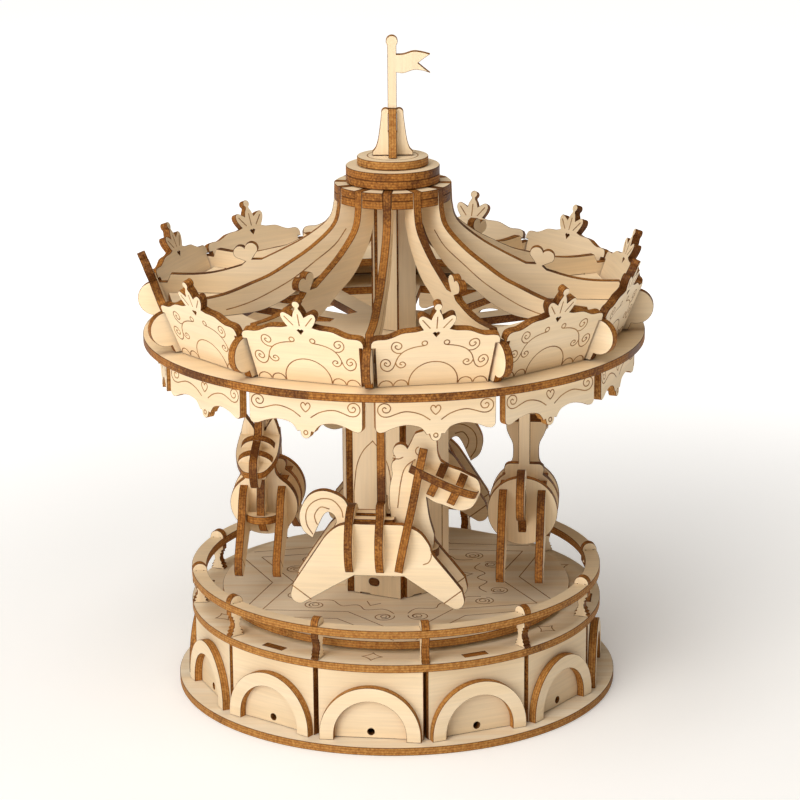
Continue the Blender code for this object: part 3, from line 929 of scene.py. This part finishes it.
def centre_plate():
    """Belly, neck, head and curled tail, in (forward, height)."""
    belly = smooth([(-10.6, 51.0), (-9.4, 47.6), (-7.0, 46.2), (0, 46.0), (6.0, 46.2), (9.8, 47.4),
                    (12.6, 50.0), (14.8, 53.0), (15.2, 57.0)], 3)
    chest = smooth([(15.2, 58.0), (13.8, 63.0), (13.0, 68.8)], 3)
    jaw = smooth([(13.0, 69.0), (15.2, 67.6), (17.8, 66.8), (20.3, 65.8), (22.9, 65.2), (25.0, 65.7),
                  (26.5, 66.8), (28.3, 70.2), (28.5, 72.1), (28.1, 73.8), (27.3, 75.0), (24.9, 76.2),
                  (22.5, 77.4), (19.5, 78.4), (17.1, 80.0)], 3)
    poll = smooth([(16.5, 81.4), (16.2, 82.9), (15.9, 86.5), (14.6, 87.9), (12.7, 88.9), (11.5, 88.6),
                   (9.9, 88.0), (9.3, 87.0), (8.4, 85.0)], 3)
    mane = arc(5.6, 82.6, 2.2, 25, 225, 12) + arc(5.2, 78.1, 2.3, 118, 200, 8)
    neck = smooth([(3.0, 77.0), (3.2, 75.7), (2.6, 73.0), (2.3, 70.4), (2.4, 66.0), (2.7, 62.4)], 3)
    tail = smooth([(-9.3, 62.4), (-9.4, 65.0), (-10.8, 67.9), (-14.1, 69.8), (-17.5, 70.3), (-20.9, 68.8),
                   (-23.2, 65.2), (-23.8, 61.7), (-22.7, 58.1), (-20.0, 55.9)])
    curl = smooth([(-18.7, 58.8), (-17.0, 62.4), (-15.6, 63.8), (-13.9, 63.1), (-13.1, 61.3), (-13.7, 59.6),
                   (-15.5, 55.4), (-12.6, 53.4)])
    outline = belly + chest + jaw + poll + mane + neck + tail + curl
    tail_lines = [smooth([(-11.1, 62.3), (-11.7, 64.9), (-14.1, 67.5), (-17.5, 67.8), (-20.4, 66.2),
                          (-21.8, 63.5), (-21.6, 59.9), (-19.9, 57.0)]),
                  smooth([(-15.0, 64.8), (-17.6, 65.3), (-19.3, 63.0), (-19.0, 60.9), (-18.5, 60.0)])]
    mane_lines = [smooth([(9.9, 80.3), (7.8, 78.8), (6.8, 77.5), (6.2, 76.0), (5.7, 73.7), (5.4, 72.0),
                          (4.7, 65.6)]),
                  arc(11.3, 82.8, 1.35, 110, 250, 10),
                  smooth([(3.3, 80.6), (5.0, 80.3), (6.4, 80.9)], 3)]
    nostril = [arc(26.3, 70.6, 0.6, 30, 300, 8)]
    lines = tail_lines + mane_lines + nostril
    return plate_mesh([outline], lines, lines)


def pole_plate():
    """Transverse rib disc with the pole and its cross bar, in (radial offset, height)."""
    pole, bar_top, bar = 1.7, 67.6, 1.8
    half = [(0, DISC_Z - DISC_R)] + arc(0, DISC_Z, DISC_R, -88, 57, 24)
    half += arc(4.2, bar_top - bar, bar, -20, 90, 8)
    return plate_mesh([mirrored(half + [(pole, bar_top), (pole, POLE_TOP), (0, POLE_TOP)])])


def body_rib():
    return plate_mesh([circle(DISC_R, 72)])


def neck_plate(length):
    """A slanting transverse plate: chest disc, neck, wide head end and two pointed ears."""
    disc = arc(0, 9.6, 10.2, -90, 55, 22)
    neck = smooth([(5.2, 18.6), (4.1, 20.4), (3.85, 23.0), (4.1, 25.4), (5.2, 27.6), (5.95, 29.6),
                   (6.0, 31.6), (5.8, 33.6), (5.0, length - 2.4), (4.25, length)], 3)
    ear = smooth([(4.25, length), (3.2, length - 1.7), (2.2, length - 3.3), (1.6, length - 4.6)], 3)[1:]
    slits = [[(2.2, 30.2), (4.4, 30.2)]]
    return plate_mesh([mirrored(disc + neck + ear + [(0, length - 4.8)])], slits + flipped(slits))


def face_plate(length):
    """The sloping top of the head, round at the muzzle, in (radial offset, distance from the ears)."""
    half = [(0, 0), (5.6, 0)]
    half += smooth([(5.7, 0.4), (6.1, 4.8), (6.3, 9.6), (6.0, 13.6), (4.9, 17.2), (2.9, length - 0.7),
                    (0, length)])
    slits = [[(3.2, 7.6), (5.6, 7.6)], [(3.0, 14.6), (5.0, 14.6)]]
    return plate_mesh([mirrored(half)], slits + flipped(slits))


def cheek_rib(width, rise, drop):
    """A small rib across the face: round above, squarer jaw below."""
    angles = [math.radians(a) for a in range(0, 91, 10)]
    above = [(width * math.cos(a), rise * math.sin(a)) for a in angles]
    jaw = [(0, -drop), (width * 0.42, -drop), (width * 0.56, -drop + 0.6), (width * 0.62, -PLY / 2 - 0.3),
           (width, -PLY / 2)]
    return plate_mesh([mirrored(jaw + above)])


def along_slope(azimuth, start, end):
    """A place for an outline in (radial offset, distance) on a sheet sloping from start to end."""
    outward, tangent = directions(azimuth)
    up = Vector((0, 0, 1))
    rise = (tangent * (end[0] - start[0]) + up * (end[1] - start[1])).normalized()
    origin = outward * HORSE_R + tangent * start[0] + up * start[1]
    return placed(-outward, rise, (-outward).cross(rise), origin)


def build_horse(number, azimuth, meshes):
    """One horse: its plates by their mesh and place, and the CAD plate that each belongs to."""
    name = f"horse_{number}"
    outward, tangent = directions(azimuth)
    up = Vector((0, 0, 1))
    middle = outward * HORSE_R

    def add(label, mesh, place, face=face_across, node="centre_plate"):
        piece(f"{name}_{label}", "turntable", meshes[mesh], place, [f"{name}_{node}"], face,
              edge_charred)

    def across(along, height=0.0):
        centred = Matrix.Translation(middle * MM) @ radial(azimuth, along)
        return centred @ Matrix.Translation((0, height * MM, 0))

    add("body", "centre", facing(azimuth, HORSE_R))
    add("inner_flank", "side", facing(azimuth, HORSE_R - SIDE_OFFSET), node="inner_side_plate")
    add("outer_flank", "side", facing(azimuth, HORSE_R + SIDE_OFFSET), node="outer_side_plate")
    add("pole_and_rib", "pole", across(0), face_upright, "pole")
    add("rear_rib", "rib", across(REAR_RIB_AT, DISC_Z), face_upright)

    for label, side in (("inner", -1), ("outer", 1)):
        saddle = placed(tangent, outward * side, up * side, middle + up * SADDLE_Z)
        add(f"{label}_saddle", "saddle", saddle)

    forward, height = CHEST_AT
    add("chest", "chest", placed(outward, tangent, -up, middle + tangent * forward + up * height))
    add("neck", "neck", along_slope(azimuth, NECK_START, NECK_END), face_upright)
    add("face", "face", along_slope(azimuth, FACE_START, FACE_END))
    slope = (Vector(FACE_END) - Vector(FACE_START)).normalized()
    for rib, reach in (("brow", 8.6), ("muzzle", 14.9)):
        spot = Vector(FACE_START) + slope * reach
        above = spot + Vector((-slope.y, slope.x))
        add(rib, rib, along_slope(azimuth, spot, above), face_upright)


def build_horses():
    saddle = [(-9.4, 1.3), (4.0, 1.3), (4.0, 3.8), (3.4, 4.4), (-8.8, 4.4), (-9.4, 3.8)]
    meshes = {
        "centre": centre_plate(),
        "side": side_plate(),
        "pole": pole_plate(),
        "rib": body_rib(),
        "saddle": plate_mesh([saddle]),
        "chest": plate_mesh([[(-5.0, 0), (5.0, 0)] + arc(0, 0, 5.0, 0, 180, 16)]),
        "neck": neck_plate(math.dist(NECK_START, NECK_END)),
        "face": face_plate(math.dist(FACE_START, FACE_END)),
        "brow": cheek_rib(5.2, 4.3, 6.0),
        "muzzle": cheek_rib(5.4, 4.1, 5.7),
    }
    for i in range(HORSES):
        build_horse(i + 1, RIB_AZ + 360 / HORSES * i, meshes)


# ---------------------------------------------------------------- studio

def add_floor():
    mesh = bpy.data.meshes.new("floor")
    reach = 6.0
    corners = [(-reach, -reach, 0), (reach, -reach, 0), (reach, reach, 0), (-reach, reach, 0)]
    mesh.from_pydata(corners, [], [(0, 1, 2, 3)])
    mesh.materials.append(floor_material())
    floor = bpy.data.objects.new("floor", mesh)
    floor.location.z = -0.0002
    bpy.context.scene.collection.objects.link(floor)


def add_light(name, azimuth, elevation, distance, size, watts, colour):
    """A square area light that looks at the middle of the model."""
    target = Vector((0, 0, 0.09))
    flat = math.cos(math.radians(elevation)) * distance
    x, y = azimuth_point(azimuth, flat)
    spot = target + Vector((x, y, math.sin(math.radians(elevation)) * distance))
    light = bpy.data.lights.new(name, "AREA")
    light.size = size
    light.energy = watts
    light.color = colour
    lamp = bpy.data.objects.new(name, light)
    lamp.location = spot
    lamp.rotation_euler = (target - spot).to_track_quat("-Z", "Y").to_euler()
    bpy.context.scene.collection.objects.link(lamp)


def add_world(strength):
    world = bpy.data.worlds.new("studio")
    world.use_nodes = True
    background = world.node_tree.nodes["Background"]
    background.inputs["Color"].default_value = (1.0, 0.88, 0.72, 1)
    background.inputs["Strength"].default_value = strength
    bpy.context.scene.world = world


def add_camera():
    pitch, yaw, roll = (math.radians(a) for a in (16.12, -0.21, -0.435))
    forward = Vector((-math.sin(yaw) * math.cos(pitch), math.cos(yaw) * math.cos(pitch), -math.sin(pitch)))
    right = Vector((math.cos(yaw), math.sin(yaw), 0))
    up = right.cross(forward)
    right_rolled = right * math.cos(roll) + up * math.sin(roll)
    up_rolled = up * math.cos(roll) - right * math.sin(roll)
    data = bpy.data.cameras.new("camera")
    data.lens = 127.0
    data.sensor_width = 36.0
    data.clip_start = 0.05
    camera = bpy.data.objects.new("camera", data)
    camera.matrix_world = placed(right_rolled, up_rolled, -forward, (-1.36, -808.4, 319.8))
    bpy.context.scene.collection.objects.link(camera)
    bpy.context.scene.camera = camera


def build_studio():
    bpy.context.scene.view_settings.view_transform = "Standard"
    add_floor()
    add_world(0.13)
    add_light("key", -37, 14, 1.3, 0.8, 8.2, (1.0, 0.97, 0.92))
    add_light("front", -25, 40, 1.4, 0.8, 4.8, (1.0, 0.97, 0.92))
    add_light("top", -30, 76, 1.4, 1.0, 10, (1.0, 0.98, 0.95))
    add_camera()


build_studio()
build_base()
build_deck_and_column()
build_canopy()
build_finial()
build_horses()
